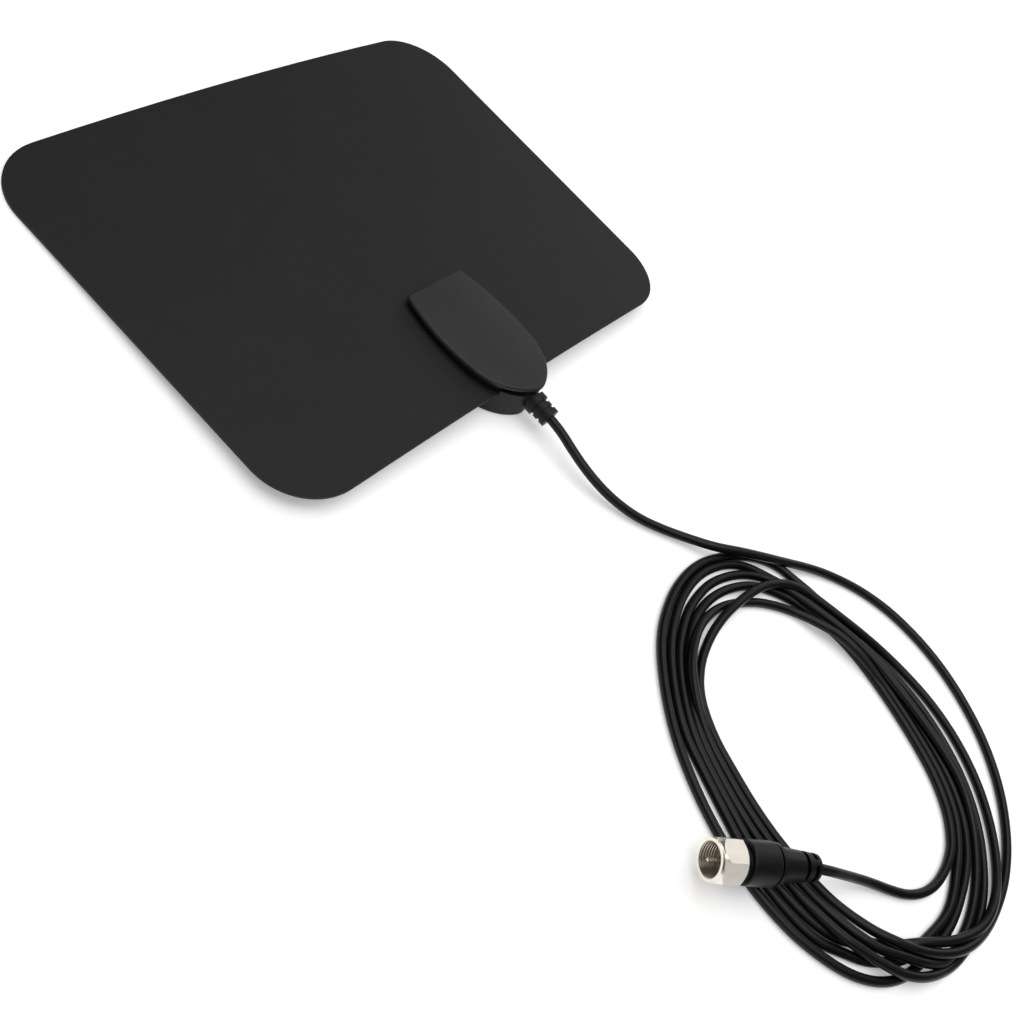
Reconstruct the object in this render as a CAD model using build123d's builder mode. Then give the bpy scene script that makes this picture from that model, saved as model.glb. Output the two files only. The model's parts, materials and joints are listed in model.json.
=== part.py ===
from build123d import *
import os
from math import asin, cos, radians, sin, sqrt, tan

# Flat indoor television antenna: a bonded two-film sheet with a foil dipole inside,
# a two-shell housing clamped over its lead edge, and a thin coaxial lead that lies
# in a loose coil and ends in a screw-on F plug. Millimetres, +Z up, table at Z = 0.
# The origin is on the table under the middle of the sheet and housing.

# Sheet
film_width = 180.0
film_depth = 127.0
film_corner = 18.5
front_film_thickness = 0.4
rear_film_thickness = 0.4
film_rise = 7.8          # underside of the sheet above the table, at the lead edge
film_droop = 3.0         # how far the side edges hang below the middle
notch_width = 8.0        # cable notch in the lead edge, inside the housing
notch_depth = 8.0
notch_corner = 1.5

# Foil dipole, laid in pockets of the rear film
foil_thickness = 0.1
foil_play = 0.03         # under the foil in its pocket
foil_cover = 0.12        # over the foil
foil_margin = 7.0
foil_gap = 4.4
foil_feed_row = 16.0     # start of the feed edge, from the lead edge
foil_feed_length = 11.0
foil_top_length = 25.0
foil_corner = 1.6
foil_post_margin = 1.2

# Housing
housing_length = 44.8
housing_overhang = 6.7   # past the lead edge of the sheet
housing_end_width = 24.6
housing_width = 30.0
housing_wide_row = 27.3  # widest place, from the nose
shoulder_width = 28.4
shoulder_row = 15.2
nose_radius = 6.5
end_corner = 1.2
lid_height = 10.4        # top of the crown at the flat end
lid_slope = 3.8          # degrees, rising to the nose
crown_radius = 120.0
lid_thickness = 1.1
lid_edge = 0.8
skirt_inset = 1.4        # shadow gap under the lid
skirt_wall = 1.3
lip_height = 9.8         # nose wall of the bottom shell
shell_wall = 1.3
floor_thickness = 1.4
base_edge = 0.8
sheet_edge_clearance = 0.3

# Posts of the top shell, through the sheet, into bosses of the bottom shell
post_radius = 1.2
post_spread = 18.4
post_near_row = 9.0      # from the lead edge
post_far_row = 32.0
post_hole_clearance = 0.25
post_fit = 0.05
post_tip_gap = 0.4
boss_radius = 2.3

# Balun under the sheet
board_width = 15.0
board_length = 12.0
board_thickness = 1.0
board_corner = 1.0
board_row = 18.5         # middle of the board, from the lead edge
board_gap = 0.05
eyelet_radius = 0.9
eyelet_bore = 0.55
eyelet_head = 1.7
eyelet_flange = 0.3
eyelet_spread = 9.6
eyelet_row = 21.0
eyelet_clearance = 0.05
core_width = 5.6
core_length = 3.6
core_height = 2.0
core_corner = 0.6
core_bore = 0.55
core_bore_spread = 2.6
core_row = 17.5
wire_radius = 0.3
wire_overhang = 0.5

# Coaxial lead
cord_diameter = 2.7
dielectric_diameter = 1.6
conductor_diameter = 0.5
braid_diameter = 0.6
jacket_end_row = 7.5     # end of the jacket inside the housing, from the nose
dielectric_length = 4.0
braid_offset = 1.15
pigtail_bend = 1.5

# Strain relief
relief_height = 7.45
relief_clearance = 0.05
relief_neck_radius = 2.6
relief_flange_radius = 3.3
relief_flange_length = 1.5
relief_flange_gap = 0.2
relief_base_radius = 3.6
relief_rib_radius = 3.2
relief_groove_radius = 2.7
relief_base_gap = 0.3
relief_base_length = 2.2
relief_groove_length = 1.0
relief_rib_length = 1.4
relief_end_length = 1.7
relief_lead = 3.0        # straight cable past the end of the boot

# Coil of the lead on the table, as the outer shape of its turns
coil_height = 3.2
coil_edge = 1.2
coil_outer_centre = (-2.3, -200.7)
coil_outer_radii = (65.0, 53.0)
coil_outer_turn = 84.3
coil_inner_centre = (-2.3, -198.8)
coil_inner_radii = (50.1, 34.6)
coil_inner_turn = 74.8

tail_lead = 6.5          # straight cable behind the grip

# F plug
plug_spot = (-59.2, -194.5)   # front face of the grip, seen from above
plug_heading = 137.4          # degrees from +X
plug_seat = 0.2
grip_radius = 5.8
grip_head_length = 8.8
grip_collar_radius = 4.8
grip_collar_length = 1.5
grip_ring_radius = 5.5
grip_ring_length = 1.0
grip_ring_groove = 0.6
grip_neck_radius = 4.9
grip_tail_radius = 3.6
grip_length = 23.2
grip_edge = 0.5
slot_rows = (17.9, 21.0)
slot_width = 1.2
slot_core_radius = 2.3
slot_bridge = 1.6
nut_flats = 11.1
nut_turn = -24.0          # resting angle of the nut, a corner up and out
nut_length = 8.0
nut_gap = 0.3
nut_wall = 2.0
nut_bore_radius = 4.5
nut_end_radius = 5.4
nut_collar = 0.7
nut_front_chamfer = 1.4
nut_back_chamfer = 0.8
nut_clearance = 0.05
nut_end_play = 0.1
post_neck_radius = 3.3
post_flange_radius = 4.1
post_flange_length = 1.6
post_depth = 8.0
insulator_radius = 2.0
insulator_depth = 7.0
pin_root_radius = 1.1      # held part, inside the insulator
pin_radius = 0.45
pin_reach = 0.8           # past the front of the nut
pin_tip = 0.2

# Values worked out from the above
film_thickness = rear_film_thickness + front_film_thickness
film_tilt = asin((film_rise - film_droop) / (film_depth - film_corner / 2))
film_run = Vector(0, cos(film_tilt), -sin(film_tilt))
film_up = Vector(0, sin(film_tilt), cos(film_tilt))
arch_radius = (film_width**2 / 4 + film_droop**2) / (2 * film_droop)
nose_y = -(film_depth * cos(film_tilt) + housing_overhang) / 2
lead_edge_y = nose_y + housing_overhang
inner_end_y = nose_y + housing_length
housing_room = 2 * (lid_height + housing_length * tan(radians(lid_slope)))
film_room = 4 * film_rise
cord_radius = cord_diameter / 2
relief_end_y = nose_y - (
    relief_base_gap + relief_base_length + 2 * relief_groove_length + relief_rib_length + relief_end_length
)
jacket_end_y = nose_y + jacket_end_row
plug_height = coil_height + plug_seat + grip_radius

# The sheet's own planes: x across, y from the lead edge to the far edge, z through it.
film_face = Plane(origin=(0, lead_edge_y, film_rise), x_dir=(1, 0, 0), z_dir=film_up)
arch_plane = Plane(origin=film_face.origin, x_dir=(1, 0, 0), z_dir=-film_run)
crown_run = Vector(0, -cos(radians(lid_slope)), sin(radians(lid_slope)))
crown_plane = Plane(origin=(0, inner_end_y, lid_height), x_dir=(1, 0, 0), z_dir=crown_run)
relief_plane = Plane(origin=(0, nose_y, relief_height), x_dir=(1, 0, 0), z_dir=(0, -1, 0))
relief_profile_plane = Plane(origin=relief_plane.origin, x_dir=(0, -1, 0), z_dir=(1, 0, 0))
plug_run = Vector(cos(radians(plug_heading)), sin(radians(plug_heading)), 0)
plug_plane = Plane(origin=(*plug_spot, plug_height), x_dir=(0, 0, 1), z_dir=plug_run)
plug_axis = Axis(plug_plane.origin, plug_run)
plug_profile_plane = Plane(origin=plug_plane.origin, x_dir=plug_run, z_dir=(0, 0, 1))

post_spots = [
    (side * post_spread / 2, row) for row in (post_near_row, post_far_row) for side in (-1, 1)
]
post_places = [(x, lead_edge_y + row * cos(film_tilt)) for x, row in post_spots]
eyelet_spots = [(side * eyelet_spread / 2, eyelet_row) for side in (-1, 1)]
eyelet_foot = -(board_gap + board_thickness)


def curved_band(plane, radius, low, high, width, room):
    """Ring sector under a crown of the given radius, between two heights over its top."""
    with BuildSketch(plane) as band:
        with Locations((0, -radius)):
            Circle(radius + high)
            Circle(radius + low, mode=Mode.SUBTRACT)
        Rectangle(width, 2 * room, mode=Mode.INTERSECT)
    return band.sketch


def film_band(low, high):
    return curved_band(arch_plane, arch_radius, low, high, 2 * film_width, film_room)


def crown_band(low, high):
    return curved_band(crown_plane, crown_radius, low, high, 3 * housing_width, housing_room)


def cord_bends(points):
    """Bend radius at each inner point of a cord's route, as large as its runs allow."""
    bends = []
    for before, here, after in zip(points, points[1:], points[2:]):
        run_in = Vector(*here) - Vector(*before)
        run_out = Vector(*after) - Vector(*here)
        half_turn = radians(run_in.get_angle(run_out)) / 2
        bends.append(0.45 * min(run_in.length, run_out.length) / tan(half_turn))
    return bends


os.makedirs("parts", exist_ok=True)

# Profiles shared by several pieces

with BuildSketch() as film_outline:
    with Locations((0, film_depth / 2)):
        RectangleRounded(film_width, film_depth, film_corner)
    RectangleRounded(notch_width, 2 * notch_depth, notch_corner, mode=Mode.SUBTRACT)
    with Locations(*post_spots):
        Circle(post_radius + post_hole_clearance, mode=Mode.SUBTRACT)
    with Locations(*eyelet_spots):
        Circle(eyelet_radius + eyelet_clearance, mode=Mode.SUBTRACT)

# Housing outline: flat inner end, bowed sides, then shoulder arcs tangent to the round nose.
with BuildSketch() as housing_outline:
    with BuildLine():
        side = ThreePointArc(
            (housing_end_width / 2, inner_end_y),
            (housing_width / 2, nose_y + housing_wide_row),
            (shoulder_width / 2, nose_y + shoulder_row),
        )
        heading = side % 1
        inward = Vector(heading.Y, -heading.X)
        nose_centre = Vector(0, nose_y + nose_radius)
        reach = side @ 1 - nose_centre
        shoulder_radius = (nose_radius**2 - reach.dot(reach)) / (2 * (reach.dot(inward) + nose_radius))
        shoulder_centre = side @ 1 + inward * shoulder_radius
        touch = nose_centre + (nose_centre - shoulder_centre).normalized() * nose_radius
        TangentArc(side @ 1, touch, tangent=heading)
        ThreePointArc(touch, (0, nose_y), (-touch.X, touch.Y))
        TangentArc(
            (-shoulder_width / 2, nose_y + shoulder_row),
            (-touch.X, touch.Y),
            tangent=(-heading.X, heading.Y),
        )
        ThreePointArc(
            (-shoulder_width / 2, nose_y + shoulder_row),
            (-housing_width / 2, nose_y + housing_wide_row),
            (-housing_end_width / 2, inner_end_y),
        )
        Line((-housing_end_width / 2, inner_end_y), (housing_end_width / 2, inner_end_y))
    make_face()

with BuildSketch() as skirt_outline:
    offset(housing_outline.sketch, amount=-skirt_inset, kind=Kind.INTERSECTION)

with BuildSketch() as skirt_room:
    offset(housing_outline.sketch, amount=-skirt_inset - skirt_wall, kind=Kind.INTERSECTION)

with BuildSketch() as bottom_room:
    offset(housing_outline.sketch, amount=-shell_wall, kind=Kind.INTERSECTION)

# Foil dipole: two fans that spread from the feed at the housing to the sides of the sheet

with BuildSketch() as foil_outline:
    with BuildLine():
        Polyline(
            (foil_gap / 2, foil_feed_row),
            (film_width / 2 - foil_margin, foil_margin),
            (film_width / 2 - foil_margin, film_depth - foil_margin),
            (film_width / 2 - foil_margin - foil_top_length, film_depth - foil_margin),
            (foil_gap / 2, foil_feed_row + foil_feed_length),
            close=True,
        )
    make_face()
    fillet(vertices(), foil_corner)
    with Locations(*post_spots):
        Circle(post_radius + foil_post_margin, mode=Mode.SUBTRACT)
    with Locations(*eyelet_spots):
        Circle(eyelet_radius + eyelet_clearance, mode=Mode.SUBTRACT)

foil_floor = rear_film_thickness - foil_thickness - foil_play - foil_cover

with BuildPart() as foil_pocket:
    with BuildSketch(film_face):
        add(foil_outline.sketch)
    extrude(amount=film_room, both=True)
    extrude(film_band(foil_floor, film_thickness), amount=film_depth, both=True, mode=Mode.INTERSECT)

with BuildPart() as element_right:
    with BuildSketch(film_face):
        add(foil_outline.sketch)
    extrude(amount=film_room, both=True)
    extrude(
        film_band(foil_floor + foil_play, foil_floor + foil_play + foil_thickness),
        amount=film_depth,
        both=True,
        mode=Mode.INTERSECT,
    )
element_right.part.label = "element_right"
export_step(element_right.part, "parts/element_right.step")

with BuildPart() as element_left:
    mirror(element_right.part, about=Plane.YZ)
element_left.part.label = "element_left"
export_step(element_left.part, "parts/element_left.step")

# Films

with BuildPart() as rear_film:
    with BuildSketch(film_face):
        add(film_outline.sketch)
    extrude(amount=film_room, both=True)
    extrude(film_band(0, rear_film_thickness), amount=film_depth, both=True, mode=Mode.INTERSECT)
    add(foil_pocket.part, mode=Mode.SUBTRACT)
    add(mirror(foil_pocket.part, about=Plane.YZ, mode=Mode.PRIVATE), mode=Mode.SUBTRACT)
rear_film.part.label = "rear_film"
export_step(rear_film.part, "parts/rear_film.step")

with BuildPart() as front_film:
    with BuildSketch(film_face):
        add(film_outline.sketch)
    extrude(amount=film_room, both=True)
    extrude(
        film_band(rear_film_thickness, film_thickness), amount=film_depth, both=True, mode=Mode.INTERSECT
    )
front_film.part.label = "front_film"
export_step(front_film.part, "parts/front_film.step")

# Top shell: a crowned lid that overhangs a set-in skirt, with four posts

with BuildPart() as top_skirt:
    with BuildSketch():
        add(skirt_outline.sketch)
        add(skirt_room.sketch, mode=Mode.SUBTRACT)
    extrude(amount=housing_room)
    extrude(film_band(film_thickness, film_room), amount=film_depth, both=True, mode=Mode.INTERSECT)
    with BuildSketch(Plane.XY.offset(floor_thickness + post_tip_gap)):
        with Locations(*post_places):
            Circle(post_radius)
    extrude(amount=housing_room)
    extrude(
        crown_band(-crown_radius / 2, -lid_thickness),
        amount=2 * housing_length,
        both=True,
        mode=Mode.INTERSECT,
    )

with BuildPart() as top_shell:
    with BuildSketch():
        add(housing_outline.sketch)
    extrude(amount=housing_room)
    fillet(edges().filter_by(Axis.Z).group_by(Axis.Y)[-1], end_corner)
    extrude(crown_band(-lid_thickness, 0), amount=2 * housing_length, both=True, mode=Mode.INTERSECT)
    fillet(faces().sort_by(SortBy.AREA)[-2:].sort_by(Axis.Z)[-1].edges(), lid_edge)
    add(top_skirt.part)
    with BuildSketch(relief_plane):
        Circle(relief_neck_radius + relief_clearance)
    extrude(amount=-jacket_end_row, mode=Mode.SUBTRACT)
top_shell.part.label = "top_shell"
export_step(top_shell.part, "parts/top_shell.step")

# Bottom shell: a flat tray, open where the sheet enters, with a raised nose wall

with BuildPart() as sheet_space:
    with BuildSketch(film_face):
        with Locations((0, housing_length / 2 - sheet_edge_clearance)):
            Rectangle(2 * housing_width, housing_length)
    extrude(amount=film_room, both=True)
    extrude(film_band(0, film_room), amount=film_depth, both=True, mode=Mode.INTERSECT)

with BuildPart() as bottom_shell:
    with BuildSketch():
        add(housing_outline.sketch)
    extrude(amount=lip_height)
    fillet(edges().filter_by(Axis.Z).group_by(Axis.Y)[-1], end_corner)
    fillet(faces().sort_by(Axis.Z)[0].edges(), base_edge)
    with BuildSketch(Plane.XY.offset(floor_thickness)):
        add(bottom_room.sketch)
    extrude(amount=lip_height, mode=Mode.SUBTRACT)
    with BuildSketch(Plane.XY.offset(floor_thickness)):
        with Locations(*post_places):
            Circle(boss_radius)
    extrude(amount=film_rise)
    add(sheet_space.part, mode=Mode.SUBTRACT)
    with BuildSketch(Plane.XY.offset(floor_thickness)):
        with Locations(*post_places):
            Circle(post_radius + post_fit)
    extrude(amount=lip_height, mode=Mode.SUBTRACT)
    with BuildSketch(relief_plane):
        Circle(relief_neck_radius + relief_clearance)
        with Locations((0, lip_height / 2)):
            Rectangle(2 * (relief_neck_radius + relief_clearance), lip_height)
    extrude(amount=-nose_radius / 2, mode=Mode.SUBTRACT)
bottom_shell.part.label = "bottom_shell"
export_step(bottom_shell.part, "parts/bottom_shell.step")

# Balun board under the sheet, with the eyelets that rivet it to the foil

with BuildPart() as balun_board:
    with BuildSketch(film_face.offset(-board_gap)):
        with Locations((0, board_row)):
            RectangleRounded(board_width, board_length, board_corner)
        with Locations(*eyelet_spots):
            Circle(eyelet_radius + eyelet_clearance, mode=Mode.SUBTRACT)
    extrude(amount=-board_thickness)
balun_board.part.label = "balun_board"
export_step(balun_board.part, "parts/balun_board.step")

for eyelet_name, eyelet_spot in zip(("eyelet_left", "eyelet_right"), eyelet_spots):
    with BuildPart() as eyelet:
        with BuildSketch(film_face.offset(film_thickness)):
            with Locations(eyelet_spot):
                Circle(eyelet_head)
        extrude(amount=eyelet_flange)
        with BuildSketch(film_face.offset(eyelet_foot)):
            with Locations(eyelet_spot):
                Circle(eyelet_head)
        extrude(amount=-eyelet_flange)
        with BuildSketch(film_face.offset(eyelet_foot)):
            with Locations(eyelet_spot):
                Circle(eyelet_radius)
        extrude(amount=film_thickness - eyelet_foot)
        with BuildSketch(film_face):
            with Locations(eyelet_spot):
                Circle(eyelet_bore)
        extrude(amount=film_room, both=True, mode=Mode.SUBTRACT)
    eyelet.part.label = eyelet_name
    export_step(eyelet.part, f"parts/{eyelet_name}.step")

# Ferrite core with two bores, and the wire loop through them

core_face = film_face.offset(eyelet_foot)
core_end = Plane(
    origin=core_face.from_local_coords((0, core_row - core_length / 2, -core_height / 2)),
    x_dir=(1, 0, 0),
    z_dir=film_run,
)

with BuildPart() as balun_core:
    with BuildSketch(core_face):
        with Locations((0, core_row)):
            RectangleRounded(core_width, core_length, core_corner)
    extrude(amount=-core_height)
    with BuildSketch(core_end):
        with Locations((-core_bore_spread / 2, 0), (core_bore_spread / 2, 0)):
            Circle(core_bore)
    extrude(amount=core_length, mode=Mode.SUBTRACT)
balun_core.part.label = "balun_core"
export_step(balun_core.part, "parts/balun_core.step")

loop_plane = film_face.offset(eyelet_foot - core_height / 2)
loop_half = core_bore_spread / 2
loop_near = core_row - core_length / 2 - wire_overhang
loop_far = core_row + core_length / 2 + wire_overhang

with BuildPart() as balun_winding:
    with BuildLine(loop_plane) as loop:
        Line((loop_half, loop_near), (loop_half, loop_far))
        ThreePointArc((loop_half, loop_far), (0, loop_far + loop_half), (-loop_half, loop_far))
        Line((-loop_half, loop_far), (-loop_half, loop_near))
        ThreePointArc((-loop_half, loop_near), (0, loop_near - loop_half), (loop_half, loop_near))
    with BuildSketch(
        Plane(origin=loop_plane.from_local_coords((loop_half, loop_near, 0)), x_dir=(1, 0, 0), z_dir=film_run)
    ):
        Circle(wire_radius)
    sweep(path=loop.wires()[0])
balun_winding.part.label = "balun_winding"
export_step(balun_winding.part, "parts/balun_winding.step")

# Stripped end of the lead: dielectric, centre conductor and braid tail, down to the board

pad_face = eyelet_foot - conductor_diameter / 2
braid_face = eyelet_foot - braid_diameter / 2
pad_row = board_row - board_length / 2
strip_end_y = jacket_end_y + dielectric_length

with BuildPart() as coax_dielectric:
    with BuildSketch(relief_plane.offset(-jacket_end_row)):
        Circle(dielectric_diameter / 2)
        Circle(conductor_diameter / 2, mode=Mode.SUBTRACT)
    extrude(amount=-dielectric_length)
coax_dielectric.part.label = "coax_dielectric"
export_step(coax_dielectric.part, "parts/coax_dielectric.step")

conductor_route = [
    (0, jacket_end_y, relief_height),
    (0, strip_end_y + conductor_diameter, relief_height),
    film_face.from_local_coords((0, pad_row, pad_face)),
    film_face.from_local_coords((0, pad_row + 3 * conductor_diameter, pad_face)),
]

with BuildPart() as coax_conductor:
    with BuildLine() as conductor_line:
        FilletPolyline(*conductor_route, radius=pigtail_bend)
    with BuildSketch(relief_plane.offset(-jacket_end_row)):
        Circle(conductor_diameter / 2)
    sweep(path=conductor_line.wires()[0])
coax_conductor.part.label = "coax_conductor"
export_step(coax_conductor.part, "parts/coax_conductor.step")

braid_route = [
    (braid_offset, jacket_end_y, relief_height),
    (braid_offset + braid_diameter, strip_end_y, relief_height),
    film_face.from_local_coords((eyelet_spread / 2, pad_row, braid_face)),
    film_face.from_local_coords((eyelet_spread / 2, pad_row + 3 * braid_diameter, braid_face)),
]

with BuildPart() as coax_braid:
    with BuildLine() as braid_line:
        FilletPolyline(*braid_route, radius=pigtail_bend)
    with BuildSketch(Plane(origin=braid_route[0], z_dir=braid_line.wires()[0] % 0)):
        Circle(braid_diameter / 2)
    sweep(path=braid_line.wires()[0])
coax_braid.part.label = "coax_braid"
export_step(coax_braid.part, "parts/coax_braid.step")

# Strain relief: a flange held inside the nose, a neck, and a ribbed boot outside

relief_steps = [
    (relief_base_radius, relief_base_length),
    (relief_groove_radius, relief_groove_length),
    (relief_rib_radius, relief_rib_length),
    (relief_groove_radius, relief_groove_length),
    (relief_rib_radius, relief_end_length),
]
nose_inside = nose_radius - skirt_inset - skirt_wall
flange_back = sqrt(nose_inside**2 - relief_flange_radius**2) - nose_radius - relief_flange_gap

with BuildPart() as strain_relief:
    with BuildSketch(relief_plane.offset(flange_back)):
        Circle(relief_flange_radius)
    extrude(amount=-relief_flange_length)
    with BuildSketch(relief_plane.offset(flange_back)):
        Circle(relief_neck_radius)
    extrude(amount=relief_base_gap - flange_back)
    step_start = relief_base_gap
    for step_radius, step_length in relief_steps:
        with BuildSketch(relief_plane.offset(step_start)):
            Circle(step_radius)
        extrude(amount=step_length)
        step_start += step_length
    with BuildSketch(relief_plane):
        Circle(cord_radius)
    extrude(amount=housing_length, both=True, mode=Mode.SUBTRACT)
strain_relief.part.label = "strain_relief"
export_step(strain_relief.part, "parts/strain_relief.step")

# Lead from the housing, over the edge of the coil and round its right side

lead_route = [
    (0, jacket_end_y, relief_height),
    (0, relief_end_y - relief_lead, relief_height),
    (-1.2, -95.0, 5.0),
    (3.8, -111.5, 2.2),
    (12.2, -124.7, 2.7),
    (21.3, -136.0, 4.9),
    (32.2, -146.2, 5.1),
    (44.9, -156.4, 3.0),
    (56.2, -168.0, 1.5),
    (63.2, -183.2, 1.45),
    (65.7, -199.5, 1.45),
    (63.7, -214.8, 1.45),
    (58.0, -229.8, 1.45),
    (48.2, -243.0, 1.5),
    (35.2, -252.8, 1.8),
    (21.8, -258.8, 2.4),
]

with BuildPart() as lead_cord:
    with BuildLine() as lead_line:
        FilletPolyline(*lead_route, radius=cord_bends(lead_route))
    with BuildSketch(relief_plane.offset(-jacket_end_row)):
        Circle(cord_radius)
    sweep(path=lead_line.wires()[0])
lead_cord.part.label = "lead_cord"
export_step(lead_cord.part, "parts/lead_cord.step")

with BuildPart() as cord_coil:
    with BuildSketch():
        with Locations(coil_outer_centre):
            Ellipse(*coil_outer_radii, rotation=coil_outer_turn)
        with Locations(coil_inner_centre):
            Ellipse(*coil_inner_radii, rotation=coil_inner_turn, mode=Mode.SUBTRACT)
    extrude(amount=coil_height)
    fillet(edges().group_by(Axis.Z)[-1], coil_edge)
cord_coil.part.label = "cord_coil"
export_step(cord_coil.part, "parts/cord_coil.step")

# Tail from the grip of the plug down to the table and into the inside of the coil

tail_route = [
    plug_plane.from_local_coords((0, 0, -grip_length)),
    plug_plane.from_local_coords((0, 0, -grip_length - tail_lead)),
    (-29.9, -221.4, 6.0),
    (-23.0, -229.2, 2.5),
    (-15.0, -237.6, 1.45),
    (-6.2, -243.4, 1.45),
    (4.2, -243.2, 1.6),
    (12.2, -238.8, 1.8),
]

with BuildPart() as cord_tail:
    with BuildLine() as tail_line:
        FilletPolyline(*tail_route, radius=cord_bends(tail_route))
    with BuildSketch(Plane(origin=tail_route[0], z_dir=tail_line.wires()[0] % 0)):
        Circle(cord_radius)
    sweep(path=tail_line.wires()[0])
cord_tail.part.label = "cord_tail"
export_step(cord_tail.part, "parts/cord_tail.step")

# F plug: moulded grip, post with a flange that holds the nut, insulator, pin and nut

nut_back = grip_collar_length + nut_gap
nut_front = nut_back + nut_length
nut_corner = nut_flats / sqrt(3)
flange_start = nut_back + nut_wall + nut_end_play
flange_front = flange_start + post_flange_length

with BuildPart() as plug_grip:
    with BuildSketch(plug_profile_plane):
        with BuildLine():
            Polyline(
                (grip_collar_length, 0),
                (grip_collar_length, grip_collar_radius),
                (0, grip_collar_radius),
                (0, grip_radius),
                (-grip_head_length, grip_radius),
                (-grip_head_length, grip_neck_radius),
                (-grip_length, grip_tail_radius),
                (-grip_length, 0),
                close=True,
            )
        make_face()
        fillet(vertices().group_by(Axis.Y)[-1], grip_edge)
        with BuildLine():
            Polyline(
                (-grip_head_length - grip_ring_groove, 0),
                (-grip_head_length - grip_ring_groove, grip_ring_radius),
                (-grip_head_length - grip_ring_groove - grip_ring_length, grip_ring_radius),
                (-grip_head_length - grip_ring_groove - grip_ring_length, 0),
                close=True,
            )
        make_face()
    revolve(axis=plug_axis)
    for slot_index, slot_row in enumerate(slot_rows):
        with BuildSketch(plug_plane.offset(-slot_row)):
            Circle(grip_radius)
            Circle(slot_core_radius, mode=Mode.SUBTRACT)
            Rectangle(slot_bridge, 2 * grip_radius, rotation=90 * slot_index, mode=Mode.SUBTRACT)
        extrude(amount=-slot_width, mode=Mode.SUBTRACT)
    with BuildSketch(plug_plane.offset(grip_collar_length)):
        Circle(post_neck_radius)
    extrude(amount=-grip_collar_length - post_depth, mode=Mode.SUBTRACT)
plug_grip.part.label = "plug_grip"
export_step(plug_grip.part, "parts/plug_grip.step")

with BuildPart() as plug_post:
    with BuildSketch(plug_plane.offset(-post_depth)):
        Circle(post_neck_radius)
    extrude(amount=post_depth + flange_front)
    with BuildSketch(plug_plane.offset(flange_start)):
        Circle(post_flange_radius)
    extrude(amount=post_flange_length)
    with BuildSketch(plug_plane.offset(flange_front)):
        Circle(insulator_radius)
    extrude(amount=-flange_front - insulator_depth, mode=Mode.SUBTRACT)
plug_post.part.label = "plug_post"
export_step(plug_post.part, "parts/plug_post.step")

with BuildPart() as plug_insulator:
    with BuildSketch(plug_plane.offset(-insulator_depth)):
        Circle(insulator_radius)
        Circle(pin_root_radius, mode=Mode.SUBTRACT)
    extrude(amount=insulator_depth + flange_front)
plug_insulator.part.label = "plug_insulator"
export_step(plug_insulator.part, "parts/plug_insulator.step")

with BuildPart() as centre_pin:
    with BuildSketch(plug_plane.offset(-insulator_depth)):
        Circle(pin_root_radius)
    extrude(amount=insulator_depth + flange_front)
    with BuildSketch(plug_plane.offset(flange_front)):
        Circle(pin_radius)
    extrude(amount=nut_front + pin_reach - flange_front)
    chamfer(edges().sort_by(plug_axis)[-1], pin_tip)
centre_pin.part.label = "centre_pin"
export_step(centre_pin.part, "parts/centre_pin.step")

with BuildPart() as coupling_nut:
    with BuildSketch(plug_plane.offset(nut_back)):
        RegularPolygon(nut_flats / 2, 6, major_radius=False, rotation=nut_turn)
    extrude(amount=nut_length)
    with BuildSketch(plug_profile_plane):
        with BuildLine():
            Polyline(
                (nut_back, 0),
                (nut_back, nut_end_radius),
                (nut_back + nut_back_chamfer, nut_corner),
                (nut_front - nut_collar - nut_front_chamfer, nut_corner),
                (nut_front - nut_collar, nut_end_radius),
                (nut_front, nut_end_radius),
                (nut_front, 0),
                close=True,
            )
        make_face()
    revolve(axis=plug_axis, mode=Mode.INTERSECT)
    with BuildSketch(plug_plane.offset(nut_back + nut_wall)):
        Circle(nut_bore_radius)
    extrude(amount=nut_length, mode=Mode.SUBTRACT)
    with BuildSketch(plug_plane.offset(nut_back)):
        Circle(post_neck_radius + nut_clearance)
    extrude(amount=nut_wall, mode=Mode.SUBTRACT)
coupling_nut.part.label = "coupling_nut"
export_step(coupling_nut.part, "parts/coupling_nut.step")
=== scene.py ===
import bpy
import json
from math import cos, radians, sin, tau
from mathutils import Matrix, Vector


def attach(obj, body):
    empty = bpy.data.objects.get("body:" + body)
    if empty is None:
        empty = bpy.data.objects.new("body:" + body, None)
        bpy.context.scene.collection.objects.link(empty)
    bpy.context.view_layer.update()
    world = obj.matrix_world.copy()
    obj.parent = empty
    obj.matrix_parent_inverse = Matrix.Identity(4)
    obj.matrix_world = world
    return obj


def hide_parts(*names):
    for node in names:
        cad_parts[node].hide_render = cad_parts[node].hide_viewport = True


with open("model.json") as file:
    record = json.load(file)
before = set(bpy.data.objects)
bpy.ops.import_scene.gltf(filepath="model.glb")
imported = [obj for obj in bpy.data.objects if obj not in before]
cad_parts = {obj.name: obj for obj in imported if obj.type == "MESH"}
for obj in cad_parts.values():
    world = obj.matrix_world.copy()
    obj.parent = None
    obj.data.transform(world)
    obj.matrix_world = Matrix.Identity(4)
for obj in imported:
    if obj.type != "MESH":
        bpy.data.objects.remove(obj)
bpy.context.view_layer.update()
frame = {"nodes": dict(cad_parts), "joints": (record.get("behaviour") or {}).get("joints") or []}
nodes = frame["nodes"]
collection = bpy.context.scene.collection
metre = 1000.0  # in millimetres

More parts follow.
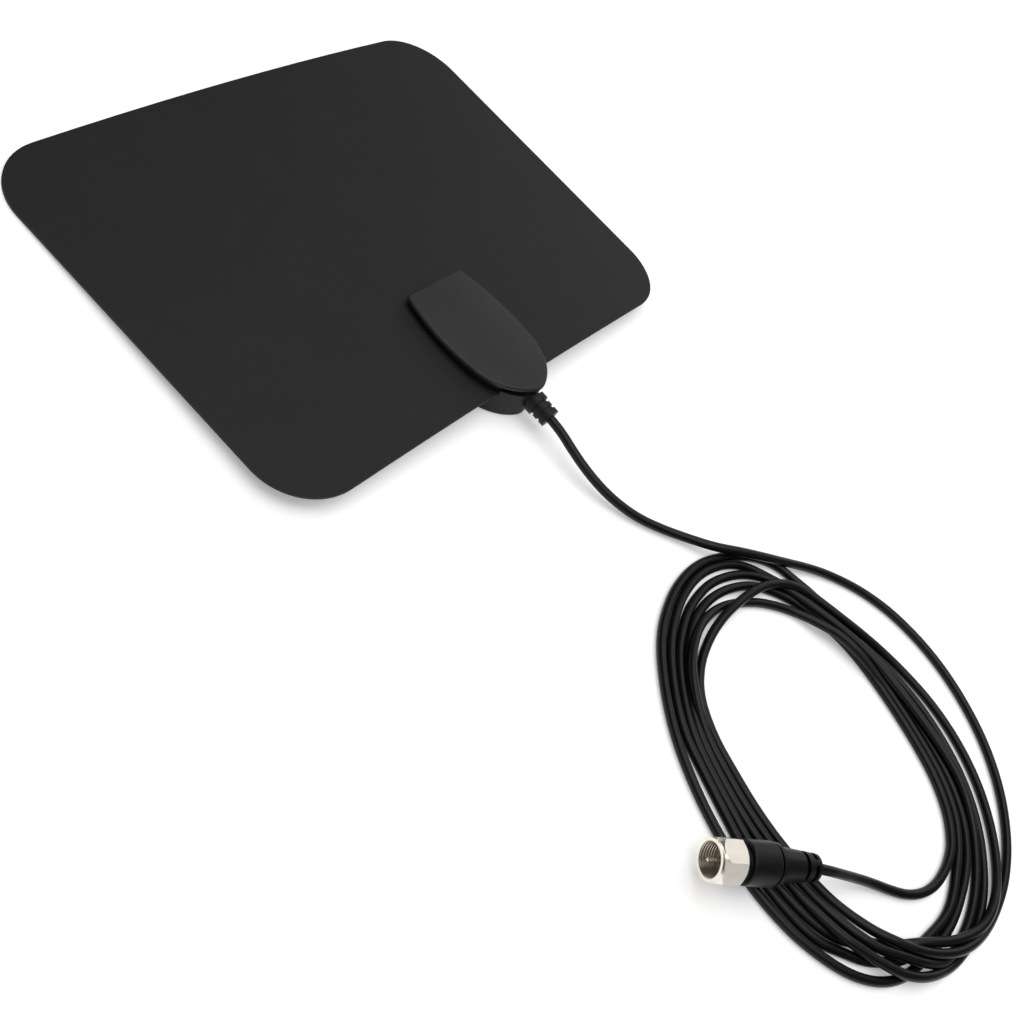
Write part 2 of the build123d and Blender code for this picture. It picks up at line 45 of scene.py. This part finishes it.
# Camera: high on the sheet's left, leaning clockwise as the photograph does
view = {
    "place": (-0.27608, -0.12055, 0.25930),
    "right": (0.5802, -0.6635, 0.4724),
    "up": (0.4366, 0.7430, 0.5073),
    "lens": 45.6,
    "sensor": 36.0,
    "shift": -0.0015,  # share of the frame, which keeps the sheet's left corner inside it
    "nearest": 0.01,
}
right = Vector(view["right"]).normalized()
up = Vector(view["up"])
up = (up - right * up.dot(right)).normalized()
turned = Matrix((right, up, right.cross(up))).transposed().to_4x4()
camera = bpy.data.objects.new("camera", bpy.data.cameras.new("camera"))
camera.data.lens = view["lens"]
camera.data.sensor_width = view["sensor"]
camera.data.shift_x = view["shift"]
camera.data.clip_start = view["nearest"]
camera.matrix_world = Matrix.Translation(view["place"]) @ turned
collection.objects.link(camera)
bpy.context.scene.camera = camera
print("camera placed")

# Lead: out of the boot, round a loose coil of seven turns and up to the plug. Millimetres and degrees.
lead = {
    "diameter": 2.86,
    "rest": 1.45,  # middle of a strand that lies on the table
    "middle": (-2.0, -199.5),  # the coil's own centre, from which its radii are taken
    "swell": 1.007,  # the spline runs this much inside its points
    "sight": 1.8,  # height over the table at which the radii hold
    "steps": 6,  # from one point to the next
    "roundness": 6,  # the bevel's resolution
    "carries": ("strain_relief", "plug_grip", "plug_post", "plug_insulator", "centre_pin", "coupling_nut"),
    # from inside the boot to the coil's right side
    "outRun": [
        (0.0, -59.3, 7.45), (0.0, -70.0, 7.45), (0.0, -78.5, 7.4), (-1.1, -86.4, 6.4), (-0.9, -94.3, 4.9),
        (0.9, -103.0, 3.3), (4.7, -111.8, 2.1), (9.8, -119.4, 1.8), (14.8, -126.6, 2.5), (19.45, -134.1, 4.2),
        (25.8, -140.3, 5.0), (33.0, -146.9, 4.7), (40.6, -152.8, 3.2), (50.4, -160.9, 1.8),
    ],
    # sections through the coil as the photograph shows it: degrees, then each turn's radius, 0 if it has none
    "sections": [
        (70, 0, 51.4, 59.4, 50.3, 63.3, 65.9, 55.6),
        (63, 0, 53.4, 58.7, 49.2, 61.8, 65.1, 55.0),
        (56, 0, 55.2, 57.0, 47.8, 57.8, 63.9, 52.9),
        (50, 0, 55.9, 54.6, 46.6, 55.1, 61.7, 50.9),
        (45, 0, 55.8, 52.3, 45.8, 53.4, 58.0, 49.0),
        (40, 0, 54.7, 50.3, 45.1, 51.3, 55.2, 47.1),
        (34, 0, 52.5, 48.4, 44.4, 48.9, 52.0, 45.1),
        (27, 65.4, 50.8, 46.8, 44.0, 46.6, 48.8, 43.1),
        (18, 66.2, 49.7, 45.4, 42.4, 44.0, 46.6, 40.4),
        (8, 66.7, 49.4, 43.9, 40.1, 41.9, 45.3, 37.9),
        (355, 66.7, 50.1, 42.7, 38.4, 40.7, 45.4, 36.0),
        (342, 66.4, 52.0, 43.4, 37.9, 40.6, 46.5, 35.5),
        (328, 66.3, 54.4, 46.0, 39.2, 42.0, 48.3, 36.6),
        (314, 65.9, 57.0, 50.0, 42.2, 45.2, 51.1, 39.3),
        (300, 65.1, 59.4, 51.8, 45.2, 48.2, 53.9, 42.4),
        (288, 64.3, 61.4, 53.3, 46.8, 50.0, 56.1, 44.3),
        (279, 63.4, 62.5, 55.0, 47.6, 51.0, 58.0, 0),
        (271, 62.9, 61.9, 56.6, 49.4, 52.0, 59.5, 0),
        (264, 62.1, 59.8, 57.9, 51.0, 53.3, 60.6, 0),
        (257, 60.5, 57.2, 59.2, 51.9, 54.6, 61.5, 0),
        (250, 57.8, 54.4, 60.6, 52.5, 55.7, 62.0, 0),
        (243, 54.6, 52.6, 58.0, 54.0, 57.3, 61.7, 0),
        (236, 51.0, 52.0, 54.6, 56.0, 59.7, 60.1, 0),
        (229, 48.3, 51.4, 52.8, 56.0, 61.0, 56.6, 0),
        (222, 45.6, 51.0, 49.7, 56.2, 61.0, 53.4, 0),
        (215, 43.4, 52.4, 47.2, 55.2, 60.0, 50.8, 0),
        (207, 41.0, 51.5, 44.7, 55.2, 58.2, 48.0, 0),
        (197, 38.2, 49.2, 42.0, 52.7, 56.2, 45.6, 0),
        (182, 36.3, 46.4, 39.2, 49.5, 53.5, 42.3, 0),
        (165, 35.7, 43.6, 38.4, 46.2, 51.5, 41.1, 0),
        (150, 36.8, 44.4, 39.5, 46.7, 51.6, 42.1, 0),
        (135, 40.6, 47.7, 43.0, 50.5, 53.5, 45.4, 0),
        (120, 44.9, 50.5, 46.2, 53.4, 56.5, 48.2, 0),
        (107, 46.7, 54.2, 49.9, 57.3, 60.6, 51.3, 0),
        (95, 47.7, 57.1, 52.1, 60.3, 63.4, 54.3, 0),
        (86, 48.7, 58.5, 52.3, 62.3, 65.1, 55.4, 0),
        (78, 49.9, 59.5, 51.7, 63.4, 66.1, 55.8, 0),
    ],
    # where a turn rides over others: turn, then degrees and its height over the strands on the table
    "rides": {
        1: {271: 0.8, 264: 2.2, 257: 2.8, 250: 2.9, 243: 3.4, 236: 3.3, 229: 2.4, 222: 1.4, 215: 0.6,
            207: 0.1, 120: 0.3, 107: 0.6, 95: 1.3, 86: 2.2, 78: 2.7},
        2: {70: 2.8, 63: 2.8, 56: 2.8, 50: 2.8, 45: 2.8, 40: 2.8, 34: 2.75, 27: 2.6, 18: 1.9, 8: 0.8,
            288: 0.6, 279: 2.4, 271: 2.75, 264: 2.75, 257: 2.75, 250: 2.75, 243: 2.0, 236: 0.4},
        3: {56: 0.2, 50: 0.9, 45: 1.6, 40: 2.2, 34: 2.6, 27: 2.75, 18: 2.75, 8: 2.7, 355: 2.6, 342: 2.6,
            328: 2.5, 314: 1.9, 300: 0.7, 250: 0.8, 243: 2.6, 236: 2.75, 229: 2.75, 222: 2.5, 215: 1.6,
            207: 0.3, 120: 2.2, 107: 2.6, 95: 1.4, 86: 0.2},
        4: {45: 0.6, 40: 1.4, 34: 2.4, 27: 2.75, 18: 2.7, 8: 1.6, 355: 0.3},
        6: {250: 0.2, 243: 2.0, 236: 2.8, 229: 2.8, 222: 2.75, 215: 2.75, 207: 1.6, 197: 0.2},
    },
    # from the coil's inside up to the plug: degrees, radius, height over the strands on the table
    "tailTurn": [
        (281, 44.5, 0), (274, 44.5, 0), (266, 44.2, 0), (258, 43.1, 0), (250, 41.0, 0), (242, 37.9, 0.2),
        (234, 35.4, 1.2), (225, 34.1, 3.2), (217, 33.9, 5.6), (210, 34.2, 7.4),
    ],
    "plugEnd": (-42.1, -210.2, 9.2),  # the back of the grip
}


def overTable(angle, radius, height):
    # a point at this height on the line of sight to that place on the table
    reach = radius * lead["swell"]
    x = lead["middle"][0] + reach * cos(radians(angle))
    y = lead["middle"][1] + reach * sin(radians(angle))
    foot = Vector((x, y, lead["sight"]))
    eye = Vector(view["place"]) * metre
    share = (lead["rest"] + height - foot.z) / (eye.z - foot.z)
    return foot + (eye - foot) * share


route = list(lead["outRun"])
for turn in range(1, len(lead["sections"][0])):
    heights = lead["rides"].get(turn, {})
    for section in lead["sections"]:
        angle = section[0]
        if section[turn]:
            route.append(overTable(angle, section[turn], heights.get(angle, 0.0)))
route += [overTable(*place) for place in lead["tailTurn"]]
route.append(lead["plugEnd"])

leadCurve = bpy.data.curves.new("leadCable", "CURVE")
leadCurve.dimensions = "3D"
leadCurve.resolution_u = lead["steps"]
leadCurve.bevel_depth = 1.0  # each point carries the cable's own radius
leadCurve.bevel_resolution = lead["roundness"]
strand = leadCurve.splines.new("NURBS")
strand.points.add(len(route) - 1)
for point, (x, y, z) in zip(strand.points, route):
    point.co = (x / metre, y / metre, z / metre, 1.0)
    point.radius = lead["diameter"] / 2 / metre
strand.order_u = 3
strand.use_endpoint_u = True
cable = bpy.data.objects.new("leadCable", leadCurve)
collection.objects.link(cable)
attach(cable, "antenna")
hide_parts("lead_cord", "cord_coil", "cord_tail")
print("cable laid")


def linear(code):
    # sRGB hex to linear
    channels = [int(code[i:i + 2], 16) / 255 for i in (1, 3, 5)]
    return tuple(c / 12.92 if c <= 0.04045 else ((c + 0.055) / 1.055) ** 2.4 for c in channels) + (1.0,)


def addNode(tree, kind, inputs=None, **settings):
    node = tree.nodes.new(kind)
    for name, value in settings.items():
        setattr(node, name, value)
    for name, value in (inputs or {}).items():
        if isinstance(value, bpy.types.NodeSocket):
            tree.links.new(value, node.inputs[name])
        else:
            node.inputs[name].default_value = value
    return node


def newMaterial(name, constants):
    material = bpy.data.materials.new(name)
    material.use_nodes = True
    tree = material.node_tree
    shader = tree.nodes["Principled BSDF"]
    for socket, value in constants.items():
        shader.inputs[socket].default_value = value
    place = addNode(tree, "ShaderNodeTexCoord").outputs["Object"]
    return material, tree, shader, place


# Every pattern is a noise. Most of its values lie between low and high.
noise = {"detail": 3.0, "roughness": 0.55, "low": 0.3, "high": 0.7}
firstColour, secondColour, mixedColour = 6, 7, 2  # the colour sockets of a Mix node


def grainedFinish(finish):
    # slow clouds tint the colour, and one fine grain varies the gloss and lifts the surface
    material, tree, shader, place = newMaterial(finish["name"], finish["constants"])
    clouds = addNode(tree, "ShaderNodeTexNoise", {
        "Vector": place,
        "Scale": metre / finish["clouds"],
        "Detail": noise["detail"],
        "Roughness": noise["roughness"],
    })
    share = addNode(tree, "ShaderNodeMapRange", {
        "Value": clouds.outputs["Fac"],
        "From Min": noise["low"],
        "From Max": noise["high"],
    })
    tint = addNode(tree, "ShaderNodeMix", {
        "Factor": share.outputs["Result"],
        firstColour: linear(finish["colours"][0]),
        secondColour: linear(finish["colours"][1]),
    }, data_type="RGBA")
    tree.links.new(tint.outputs[mixedColour], shader.inputs["Base Color"])
    grain = addNode(tree, "ShaderNodeTexNoise", {
        "Vector": place,
        "Scale": metre / finish["grain"],
        "Detail": finish["detail"],
        "Roughness": noise["roughness"],
    })
    gloss = addNode(tree, "ShaderNodeMapRange", {
        "Value": grain.outputs["Fac"],
        "From Min": noise["low"],
        "From Max": noise["high"],
        "To Min": finish["roughness"][0],
        "To Max": finish["roughness"][1],
    })
    tree.links.new(gloss.outputs["Result"], shader.inputs["Roughness"])
    relief = addNode(tree, "ShaderNodeBump", {
        "Height": grain.outputs["Fac"],
        "Strength": 1.0,
        "Distance": finish["depth"] / metre,
    })
    tree.links.new(relief.outputs["Normal"], shader.inputs["Normal"])
    return material


def dress(material, *names):
    for name in names:
        nodes[name].data.materials.clear()
        nodes[name].data.materials.append(material)


# Finishes: clouds, grain and depth are millimetres. Real grain is about a tenth of a millimetre or less,
# and it is drawn a few times coarser so that it shows.

# Sheet: polyester film, calendered matt. An even dark grey with a faint tooth and no clear reflections.
sheetFilm = {
    "name": "calenderedPolyesterFilm",
    "colours": ("#141414", "#171717"),
    "clouds": 14.0,
    "grain": 0.25,
    "detail": 2.0,
    "depth": 0.004,
    "roughness": (0.55, 0.65),
    "constants": {"Specular IOR Level": 0.29},
}
dress(grainedFinish(sheetFilm), "front_film", "rear_film")

# Lid: ABS moulded in a spark-eroded tool. A shade paler than the sheet, with a soft sheen on its crown.
lidPlastic = {
    "name": "sparkTexturedAbs",
    "colours": ("#181818", "#1c1c1c"),
    "clouds": 14.0,
    "grain": 0.3,
    "detail": 2.0,
    "depth": 0.006,
    "roughness": (0.43, 0.53),
    "constants": {"Specular IOR Level": 0.38},
}
dress(grainedFinish(lidPlastic), "top_shell")

# Tray: the same ABS from the deeper textured half of the tool, duller than the lid. Its colour is painted a
# shade darker than the lid's, which is painted shade on its low walls.
trayPlastic = {
    "name": "shadedDeepTexturedAbs",
    "colours": ("#101010", "#141414"),
    "clouds": 14.0,
    "grain": 0.3,
    "detail": 2.0,
    "depth": 0.008,
    "roughness": (0.5, 0.6),
    "constants": {"Specular IOR Level": 0.26},
}
dress(grainedFinish(trayPlastic), "bottom_shell")

# Boot: soft rubber moulded round the cable. Blacker than the housing, a little glossier on its ribs.
bootRubber = {
    "name": "mouldedBootRubber",
    "colours": ("#0b0b0b", "#0f0f0f"),
    "clouds": 14.0,
    "grain": 0.4,
    "detail": 2.0,
    "depth": 0.006,
    "roughness": (0.45, 0.55),
    "constants": {"Specular IOR Level": 0.25},
}
dress(grainedFinish(bootRubber), "strain_relief")

# Grip: PVC moulded over the plug. Deep black, smooth and satin.
gripPlastic = {
    "name": "mouldedGripPvc",
    "colours": ("#090909", "#0c0c0c"),
    "clouds": 14.0,
    "grain": 0.4,
    "detail": 2.0,
    "depth": 0.006,
    "roughness": (0.35, 0.45),
    "constants": {"Specular IOR Level": 0.23},
}
dress(grainedFinish(gripPlastic), "plug_grip")

# Jacket: PVC drawn through a die. Black and satin, with faint changes of gloss along its length.
jacketPlastic = {
    "name": "extrudedJacketPvc",
    "colours": ("#060606", "#0a0a0a"),
    "clouds": 9.0,
    "grain": 0.8,
    "detail": 3.0,
    "depth": 0.008,
    "roughness": (0.28, 0.38),
    "constants": {"Specular IOR Level": 0.24},
}
leadCurve.materials.append(grainedFinish(jacketPlastic))

# Nut: brass plated with bright nickel. Warm and shiny outside. Its bore is painted duller and browner, which
# is painted shade in that hollow, and its screw turns show as fine rings.
nut = {
    "name": "brightNickelPlate",
    "plate": ("#ebe4d8", "#f2ece2"),
    # the bore's colour: painted shade
    "shadedBore": ("#c2b7a8", "#cec4b5"),
    "clouds": 3.0,
    "grain": 0.6,
    "detail": 4.0,
    "depth": 0.0008,
    "roughness": (0.2, 0.28),
    "bore": 4.5,  # radius, millimetres
    "edge": (0.1, 0.3),  # the bore's look fades out between these depths in its wall
    "pitch": 0.79,  # 32 turns to an inch
    "ridge": 0.16,
}


def nickelNut():
    # the nut's joint gives the plug's axis, and distance from it tells the bore from the outside
    spin = frame["joints"][0]
    material, tree, shader, place = newMaterial(nut["name"], {"Metallic": 1.0})
    offset = addNode(tree, "ShaderNodeVectorMath", {0: place, 1: spin["pos_m"]}, operation="SUBTRACT")
    across = addNode(tree, "ShaderNodeVectorMath", {
        0: offset.outputs["Vector"],
        1: spin["axis"],
    }, operation="CROSS_PRODUCT")
    reach = addNode(tree, "ShaderNodeVectorMath", {0: across.outputs["Vector"]}, operation="LENGTH")
    along = addNode(tree, "ShaderNodeVectorMath", {
        0: offset.outputs["Vector"],
        1: spin["axis"],
    }, operation="DOT_PRODUCT")
    inside = addNode(tree, "ShaderNodeMapRange", {
        "Value": reach.outputs["Value"],
        "From Min": (nut["bore"] + nut["edge"][0]) / metre,
        "From Max": (nut["bore"] + nut["edge"][1]) / metre,
        "To Min": 1.0,
        "To Max": 0.0,
    })
    clouds = addNode(tree, "ShaderNodeTexNoise", {
        "Vector": place,
        "Scale": metre / nut["clouds"],
        "Detail": noise["detail"],
        "Roughness": noise["roughness"],
    })
    share = addNode(tree, "ShaderNodeMapRange", {
        "Value": clouds.outputs["Fac"],
        "From Min": noise["low"],
        "From Max": noise["high"],
    })
    plate = addNode(tree, "ShaderNodeMix", {
        "Factor": share.outputs["Result"],
        firstColour: linear(nut["plate"][0]),
        secondColour: linear(nut["plate"][1]),
    }, data_type="RGBA")
    # the bore's colour: painted shade, duller and browner than the plate
    shadedBore = addNode(tree, "ShaderNodeMix", {
        "Factor": share.outputs["Result"],
        firstColour: linear(nut["shadedBore"][0]),
        secondColour: linear(nut["shadedBore"][1]),
    }, data_type="RGBA")
    tint = addNode(tree, "ShaderNodeMix", {
        "Factor": inside.outputs["Result"],
        firstColour: plate.outputs[mixedColour],
        secondColour: shadedBore.outputs[mixedColour],
    }, data_type="RGBA")
    tree.links.new(tint.outputs[mixedColour], shader.inputs["Base Color"])
    grain = addNode(tree, "ShaderNodeTexNoise", {
        "Vector": place,
        "Scale": metre / nut["grain"],
        "Detail": nut["detail"],
        "Roughness": noise["roughness"],
    })
    gloss = addNode(tree, "ShaderNodeMapRange", {
        "Value": grain.outputs["Fac"],
        "From Min": noise["low"],
        "From Max": noise["high"],
        "To Min": nut["roughness"][0],
        "To Max": nut["roughness"][1],
    })
    tree.links.new(gloss.outputs["Result"], shader.inputs["Roughness"])
    turns = addNode(tree, "ShaderNodeMath", {
        0: along.outputs["Value"],
        1: tau * metre / nut["pitch"],
    }, operation="MULTIPLY")
    ridge = addNode(tree, "ShaderNodeMath", {0: turns.outputs["Value"]}, operation="SINE")
    rings = addNode(tree, "ShaderNodeMath", {
        0: ridge.outputs["Value"],
        1: inside.outputs["Result"],
    }, operation="MULTIPLY")
    relief = addNode(tree, "ShaderNodeBump", {
        "Height": grain.outputs["Fac"],
        "Strength": 1.0,
        "Distance": nut["depth"] / metre,
    })
    cut = addNode(tree, "ShaderNodeBump", {
        "Height": rings.outputs["Value"],
        "Strength": 1.0,
        "Distance": nut["ridge"] / metre,
        "Normal": relief.outputs["Normal"],
    })
    tree.links.new(cut.outputs["Normal"], shader.inputs["Normal"])
    return material


dress(nickelNut(), "coupling_nut")

# Post: brass under dull nickel. The warm grey floor at the bottom of the nut.
postPlate = {
    "name": "dullNickelPlate",
    "colours": ("#a89d8e", "#b5aa9b"),
    "clouds": 3.0,
    "grain": 0.6,
    "detail": 4.0,
    "depth": 0.002,
    "roughness": (0.3, 0.42),
    "constants": {"Metallic": 1.0},
}
dress(grainedFinish(postPlate), "plug_post")

# Pin: drawn copper wire, tinned. A bright point in the dark bore.
pinWire = {
    "name": "drawnTinnedCopper",
    "colours": ("#e8e2d6", "#f2eee6"),
    "clouds": 3.0,
    "grain": 0.4,
    "detail": 4.0,
    "depth": 0.002,
    "roughness": (0.15, 0.27),
    "constants": {"Metallic": 1.0},
}
dress(grainedFinish(pinWire), "centre_pin")

# Plug's sleeve: acetal turned on a lathe. Dark brown and dull, so that the pin stands out from it. Part of
# that darkness is painted shade deep in the nut's bore.
plugSleeve = {
    "name": "turnedAcetal",
    "colours": ("#2c261f", "#352e26"),
    "clouds": 14.0,
    "grain": 0.5,
    "detail": 2.0,
    "depth": 0.004,
    "roughness": (0.45, 0.55),
    "constants": {"Specular IOR Level": 0.4},
}
dress(grainedFinish(plugSleeve), "plug_insulator")

# Cable's core: polyethylene, foamed as it is drawn. Milky white and slightly uneven.
coreFoam = {
    "name": "foamedPolyethylene",
    "colours": ("#e6e4dc", "#efeee8"),
    "clouds": 14.0,
    "grain": 0.5,
    "detail": 2.0,
    "depth": 0.01,
    "roughness": (0.5, 0.6),
    "constants": {"Specular IOR Level": 0.4},
}
dress(grainedFinish(coreFoam), "coax_dielectric")

# Dipole: rolled aluminium foil. Pale grey metal with soft reflections.
dipoleFoil = {
    "name": "rolledAluminiumFoil",
    "colours": ("#c6c7c9", "#d4d5d6"),
    "clouds": 3.0,
    "grain": 1.0,
    "detail": 4.0,
    "depth": 0.002,
    "roughness": (0.25, 0.37),
    "constants": {"Metallic": 1.0},
}
dress(grainedFinish(dipoleFoil), "element_left", "element_right")

# Balun's board: glass laminate under green lacquer. Green, with a fairly sharp gloss.
balunBoard = {
    "name": "lacqueredLaminate",
    "colours": ("#1f5a35", "#256640"),
    "clouds": 14.0,
    "grain": 0.6,
    "detail": 2.0,
    "depth": 0.004,
    "roughness": (0.3, 0.4),
    "constants": {"Specular IOR Level": 0.5},
}
dress(grainedFinish(balunBoard), "balun_board")

# Balun's core: ferrite, pressed and sintered. Dark grey, dull and stony.
balunCore = {
    "name": "sinteredFerrite",
    "colours": ("#3a3a3c", "#444446"),
    "clouds": 14.0,
    "grain": 0.3,
    "detail": 2.0,
    "depth": 0.01,
    "roughness": (0.55, 0.65),
    "constants": {"Specular IOR Level": 0.4},
}
dress(grainedFinish(balunCore), "balun_core")

# Balun's winding: copper wire in clear enamel. Reddish brown and shiny.
balunWire = {
    "name": "enamelledCopperWire",
    "colours": ("#a8602e", "#b87038"),
    "clouds": 3.0,
    "grain": 0.5,
    "detail": 4.0,
    "depth": 0.002,
    "roughness": (0.25, 0.37),
    "constants": {"Metallic": 1.0},
}
dress(grainedFinish(balunWire), "balun_winding")

# Cable's wire and braid: bare drawn copper. Orange brown and fairly bright.
cableCopper = {
    "name": "drawnCopper",
    "colours": ("#b87a50", "#c88a5c"),
    "clouds": 3.0,
    "grain": 0.4,
    "detail": 4.0,
    "depth": 0.002,
    "roughness": (0.23, 0.35),
    "constants": {"Metallic": 1.0},
}
dress(grainedFinish(cableCopper), "coax_conductor", "coax_braid")

# Eyelets: rolled brass sheet. Yellow metal with a soft shine.
eyeletBrass = {
    "name": "rolledBrass",
    "colours": ("#bfa05a", "#ceb06a"),
    "clouds": 3.0,
    "grain": 0.5,
    "detail": 4.0,
    "depth": 0.002,
    "roughness": (0.23, 0.35),
    "constants": {"Metallic": 1.0},
}
dress(grainedFinish(eyeletBrass), "eyelet_left", "eyelet_right")
print("materials given")

# Floor: a round sheet of white paper that sweeps up at its rim. Matt and plain, so the part stands on white.
# It glows a little under the part, which keeps the shadows pale.
sweep = {
    "level": 2.7,  # metres: inside this the paper is flat and shaded flat
    "flat": 3.0,
    "bend": 1.0,
    "sides": 96,
    "steps": 12,
    "colours": ("#f3f3f3", "#f5f5f5"),
    "clouds": 400.0,  # millimetres
    "glow": (0.3, 0.1),  # under the part, and at the rim
    "glowFrom": 1.2,
    "constants": {"Roughness": 0.9, "Specular IOR Level": 0.1, "Emission Color": (1, 1, 1, 1)},
}
profile = [(sweep["level"], 0.0)]
for step in range(sweep["steps"] + 1):
    lean = tau / 4 * step / sweep["steps"]
    profile.append((sweep["flat"] + sweep["bend"] * sin(lean), sweep["bend"] * (1 - cos(lean))))
floorPoints = []
floorFaces = [tuple(range(sweep["sides"]))]
for ring, (radius, height) in enumerate(profile):
    for side in range(sweep["sides"]):
        angle = tau * side / sweep["sides"]
        floorPoints.append((radius * cos(angle), radius * sin(angle), height))
        if ring:
            following = (side + 1) % sweep["sides"]
            outer = ring * sweep["sides"]
            inner = outer - sweep["sides"]
            floorFaces.append((inner + side, outer + side, outer + following, inner + following))
floorMesh = bpy.data.meshes.new("floor")
floorMesh.from_pydata(floorPoints, [], floorFaces)
floorMesh.shade_smooth()
floor = bpy.data.objects.new("floor", floorMesh)
collection.objects.link(floor)


def paperSweep():
    material, tree, shader, place = newMaterial("paperSweep", sweep["constants"])
    clouds = addNode(tree, "ShaderNodeTexNoise", {
        "Vector": place,
        "Scale": metre / sweep["clouds"],
        "Detail": noise["detail"],
        "Roughness": noise["roughness"],
    })
    share = addNode(tree, "ShaderNodeMapRange", {
        "Value": clouds.outputs["Fac"],
        "From Min": noise["low"],
        "From Max": noise["high"],
    })
    tint = addNode(tree, "ShaderNodeMix", {
        "Factor": share.outputs["Result"],
        firstColour: linear(sweep["colours"][0]),
        secondColour: linear(sweep["colours"][1]),
    }, data_type="RGBA")
    tree.links.new(tint.outputs[mixedColour], shader.inputs["Base Color"])
    away = addNode(tree, "ShaderNodeVectorMath", {0: place}, operation="LENGTH")
    glow = addNode(tree, "ShaderNodeMapRange", {
        "Value": away.outputs["Value"],
        "From Min": sweep["glowFrom"],
        "From Max": sweep["flat"],
        "To Min": sweep["glow"][0],
        "To Max": sweep["glow"][1],
    })
    tree.links.new(glow.outputs["Result"], shader.inputs["Emission Strength"])
    return material


floorMesh.materials.append(paperSweep())

# Lights: one large softbox overhead, weaker ones beside the part, and small ones for the nut and the lid
softboxes = {
    "overhead": {"place": (-0.15, -0.1, 2.4), "target": (0, -0.1, 0), "size": (2.6, 2.6), "power": 47},
    "right": {"place": (1.6, -0.1, 0.75), "target": (0, -0.05, 0), "size": (1.6, 0.7), "power": 4},
    "behindCamera": {"place": (-1.8, -0.6, 1.4), "target": (0, -0.1, 0), "size": (1.8, 1.4), "power": 4},
    "nutCard": {
        "place": (0.19, -0.221, 0.245),
        "target": (-0.066, -0.188, 0.009),
        "size": (0.16, 0.16),
        "power": 0.058,
    },
    "lidCard": {"place": (0.83, 0.26, 1.34), "target": (0, -0.046, 0.009), "size": (0.9, 0.25), "power": 1.6},
}
for name, box in softboxes.items():
    lamp = bpy.data.objects.new(name, bpy.data.lights.new(name, "AREA"))
    lamp.data.shape = "RECTANGLE"
    lamp.data.size = box["size"][0]
    lamp.data.size_y = box["size"][1]
    lamp.data.energy = box["power"]
    lamp.location = box["place"]
    aim = Vector(box["target"]) - Vector(box["place"])
    lamp.rotation_euler = aim.to_track_quat("-Z", "Y").to_euler()
    collection.objects.link(lamp)

# Room: even white light, weak enough to leave the softboxes their shape in the nut
room = {"Color": (1, 1, 1, 1), "Strength": 0.1}
world = bpy.data.worlds.new("studio")
world.use_nodes = True
for socket, value in room.items():
    world.node_tree.nodes["Background"].inputs[socket].default_value = value
bpy.context.scene.world = world
bpy.context.scene.view_settings.view_transform = "Standard"
print("floor and light set")
